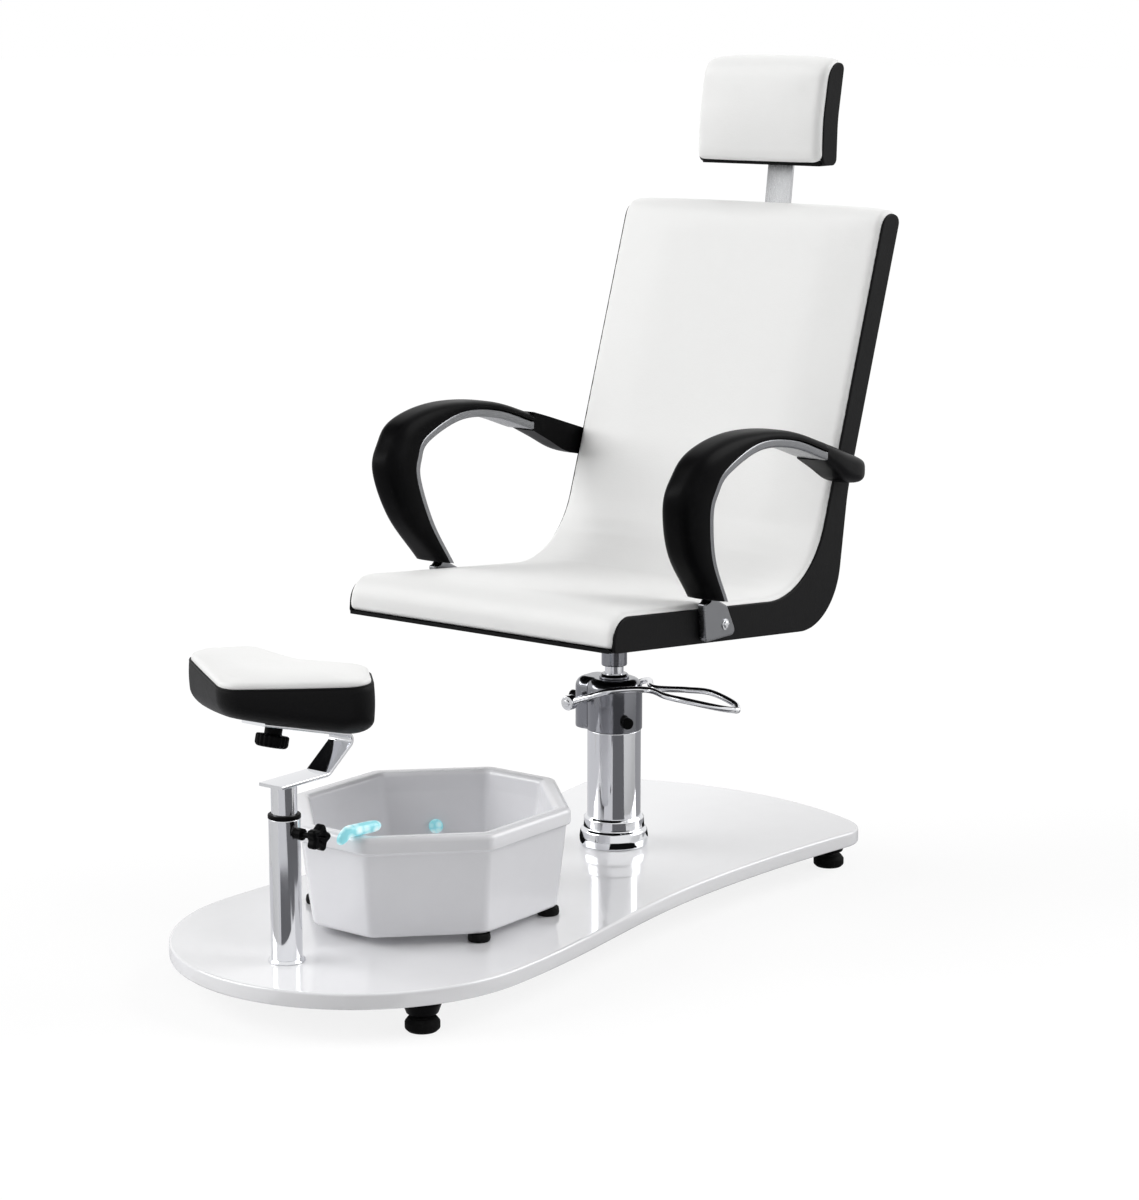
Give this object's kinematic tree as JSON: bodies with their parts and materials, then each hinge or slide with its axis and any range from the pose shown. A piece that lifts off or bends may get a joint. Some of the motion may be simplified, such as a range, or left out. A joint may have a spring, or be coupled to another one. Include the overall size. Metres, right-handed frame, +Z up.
{
  "type": "pedicure chair",
  "caption": "Pedicure chair with a padded one-piece seat and back, hoop arms, headrest, hydraulic column, footrest on a post and a loose foot bath on a waisted base plate.",
  "frame": {"origin": "on the floor, under the middle of the whole chair's plan box", "axes": "+X to the sitter's left (the lever's side), -Y the way the sitter faces, +Z up"},
  "size_m": [0.639, 1.3784, 1.3242],
  "materials": {
    "white_lacquer": "glossy white lacquer",
    "white_vinyl": "soft white vinyl",
    "black_vinyl": "satin black vinyl",
    "black_plastic": "satin black moulded plastic",
    "black_rubber": "matt black rubber",
    "chrome": "bright chrome plating",
    "steel_grey": "satin grey steel",
    "cast_metal": "chromed casting",
    "white_plastic": "glossy white plastic",
    "cyan_lens": "translucent lit cyan plastic"
  },
  "bodies": {
    "base": {"base_plate": "white_lacquer", "foot_socket_front_left": "black_plastic", "foot_socket_front_right": "black_plastic", "foot_socket_rear_left": "black_plastic", "foot_socket_rear_right": "black_plastic", "column_collar": "chrome", "column_tube": "chrome", "pump_barrel": "steel_grey", "pump_head": "cast_metal", "gland_bush": "black_plastic", "post_tube": "chrome", "post_base_ring": "chrome", "clamp_boss": "black_plastic"},
    "glide_front_left": {"foot_glide_front_left": "black_rubber"},
    "glide_front_right": {"foot_glide_front_right": "black_rubber"},
    "glide_rear_left": {"foot_glide_rear_left": "black_rubber"},
    "glide_rear_right": {"foot_glide_rear_right": "black_rubber"},
    "lift": {"lift_ram": "chrome", "lift_piston": "steel_grey"},
    "seat": {"seat_mount": "steel_grey", "seat_shell": "black_vinyl", "seat_cushion": "white_vinyl", "seat_side_left": "black_vinyl", "seat_side_right": "black_vinyl", "arm_hoop_left": "steel_grey", "arm_pad_left": "black_plastic", "arm_bracket_left": "black_plastic", "arm_bolt_left": "chrome", "arm_hoop_right": "steel_grey", "arm_pad_right": "black_plastic", "arm_bracket_right": "black_plastic", "arm_bolt_right": "chrome", "headrest_guide": "black_plastic"},
    "headrest": {"headrest_bar": "steel_grey", "headrest_block": "black_plastic", "headrest_shell": "black_vinyl", "headrest_cushion": "white_vinyl", "headrest_side_left": "black_vinyl", "headrest_side_right": "black_vinyl"},
    "lever": {"foot_lever": "chrome", "lever_axle": "steel_grey"},
    "post_turn": {"post_bush": "black_plastic"},
    "footrest": {"post_slider": "chrome", "footrest_bracket": "chrome"},
    "footrest_pad": {"footrest_base": "black_vinyl", "footrest_cushion": "white_vinyl"},
    "footrest_pad_knob": {"footrest_knob": "black_plastic"},
    "clamp": {"clamp_knob": "black_plastic"},
    "bath": {"bath_tub": "white_plastic", "bath_foot_front_left": "black_rubber", "bath_foot_front_right": "black_rubber", "bath_foot_rear_left": "black_rubber", "bath_foot_rear_right": "black_rubber", "bath_lamp": "cyan_lens", "bath_light_bar": "cyan_lens"}
  },
  "joints": [
    {"name": "level_front_left", "type": "slide", "parent": "base", "child": "glide_front_left", "axis": [0, 0, 1], "range_m": [-0.012, 0]},
    {"name": "level_front_right", "type": "slide", "parent": "base", "child": "glide_front_right", "axis": [0, 0, 1], "range_m": [-0.012, 0]},
    {"name": "level_rear_left", "type": "slide", "parent": "base", "child": "glide_rear_left", "axis": [0, 0, 1], "range_m": [-0.012, 0]},
    {"name": "level_rear_right", "type": "slide", "parent": "base", "child": "glide_rear_right", "axis": [0, 0, 1], "range_m": [-0.012, 0]},
    {"name": "lift", "type": "slide", "parent": "base", "child": "lift", "axis": [0, 0, 1], "range_m": [0, 0.13]},
    {"name": "seat_swivel", "type": "hinge", "parent": "lift", "child": "seat", "pos_m": [0, 0.20585, 0.4], "axis": [0, 0, 1], "continuous": true},
    {"name": "headrest_height", "type": "slide", "parent": "seat", "child": "headrest", "axis": [0, 0.1392, 0.9903], "range_m": [-0.04, 0.07]},
    {"name": "lever_press", "type": "hinge", "parent": "base", "child": "lever", "pos_m": [-0.046, 0.20585, 0.308], "axis": [0, 1, 0], "range_deg": [0, 22], "stiffness_Nm_per_rad": 3, "springref_deg": -34.38},
    {"name": "footrest_swing", "type": "hinge", "parent": "base", "child": "post_turn", "pos_m": [0, -0.57315, 0.28], "axis": [0, 0, 1], "continuous": true},
    {"name": "footrest_height", "type": "slide", "parent": "post_turn", "child": "footrest", "axis": [0, 0, 1], "range_m": [-0.04, 0.1]},
    {"name": "pad_turn", "type": "hinge", "parent": "footrest", "child": "footrest_pad", "pos_m": [0, -0.59015, 0.41696], "axis": [0, 0.2588, 0.9659], "range_deg": [-90, 90]},
    {"name": "pad_knob_turn", "type": "hinge", "parent": "footrest_pad", "child": "footrest_pad_knob", "pos_m": [0, -0.59015, 0.41696], "axis": [0, 0.2588, 0.9659], "range_deg": [-270, 0]},
    {"name": "clamp_turn", "type": "hinge", "parent": "base", "child": "clamp", "pos_m": [0.0348, -0.57315, 0.262], "axis": [1, 0, 0], "range_deg": [-270, 0]},
    {"name": "bath_lift_out", "type": "slide", "parent": "base", "child": "bath", "axis": [0, 0, 1], "range_m": [0, 0.06]}
  ]
}
